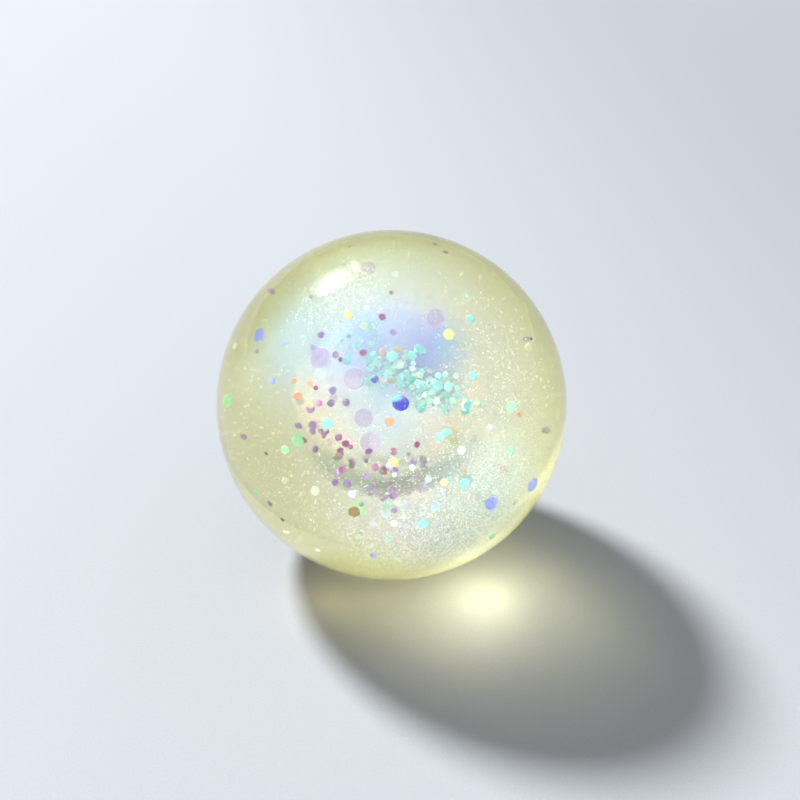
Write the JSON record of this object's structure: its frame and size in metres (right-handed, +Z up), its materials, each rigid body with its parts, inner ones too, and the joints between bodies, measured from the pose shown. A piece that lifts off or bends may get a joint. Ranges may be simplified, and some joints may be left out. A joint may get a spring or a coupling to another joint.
{
  "type": "glitter squeeze ball",
  "caption": "Clear yellow-tinted rubber squeeze ball on a flat foot, closed by a bonded plug and full of soft gel with drifting glitter flakes.",
  "frame": {"origin": "middle of the flat foot that the soft ball settles on", "axes": "+Z up through the ball's centre, -Y towards the side that the picture shows"},
  "size_m": [0.065, 0.065, 0.0634],
  "materials": {
    "skin": "clear glossy yellow-tinted rubber",
    "plug": "yellow-tinted rubber",
    "sealant": "milky cured sealant",
    "gel": "clear gel",
    "haze": "gel with a thin haze of pearl",
    "cloud": "gel with dense milky pearl",
    "aqua_glitter": "iridescent film",
    "mint_glitter": "iridescent film",
    "gold_glitter": "iridescent film",
    "coral_glitter": "iridescent film",
    "pearl_glitter": "pearl film",
    "lilac_glitter": "clear lilac film",
    "violet_glitter": "metallised film",
    "magenta_glitter": "metallised film",
    "periwinkle_glitter": "iridescent film",
    "cobalt_glitter": "metallised film",
    "slate_glitter": "metallised film",
    "bronze_glitter": "metallised film"
  },
  "bodies": {
    "skin": {"ball_skin": "skin", "fill_plug": "plug", "plug_sealant": "sealant"},
    "filling": {"gel_filling": "gel", "pearl_haze": "haze", "pearl_cloud": "cloud"},
    "glitter": {"aqua_hex_flakes": "aqua_glitter", "mint_hex_flakes": "mint_glitter", "gold_hex_flakes": "gold_glitter", "coral_hex_flakes": "coral_glitter", "pearl_hex_flakes": "pearl_glitter", "lilac_film_discs": "lilac_glitter", "violet_dot_flakes": "violet_glitter", "magenta_dot_flakes": "magenta_glitter", "periwinkle_dot_flakes": "periwinkle_glitter", "cobalt_dot_flakes": "cobalt_glitter", "slate_dot_flakes": "slate_glitter", "bronze_chip_flakes": "bronze_glitter"}
  },
  "joints": [
    {"name": "squeeze", "type": "slide", "parent": "skin", "child": "filling", "axis": [0, 0, -1], "range_m": [0, 0.009], "stiffness_N_per_m": 3000, "springref_m": -0.00038, "deforming": ["ball_skin", "gel_filling", "pearl_haze", "pearl_cloud"]},
    {"name": "swirl", "type": "hinge", "parent": "filling", "child": "glitter", "pos_m": [0, 0, 0.03092], "axis": [0, 0, 1], "continuous": true, "deforming": ["gel_filling", "pearl_haze", "pearl_cloud"]}
  ]
}
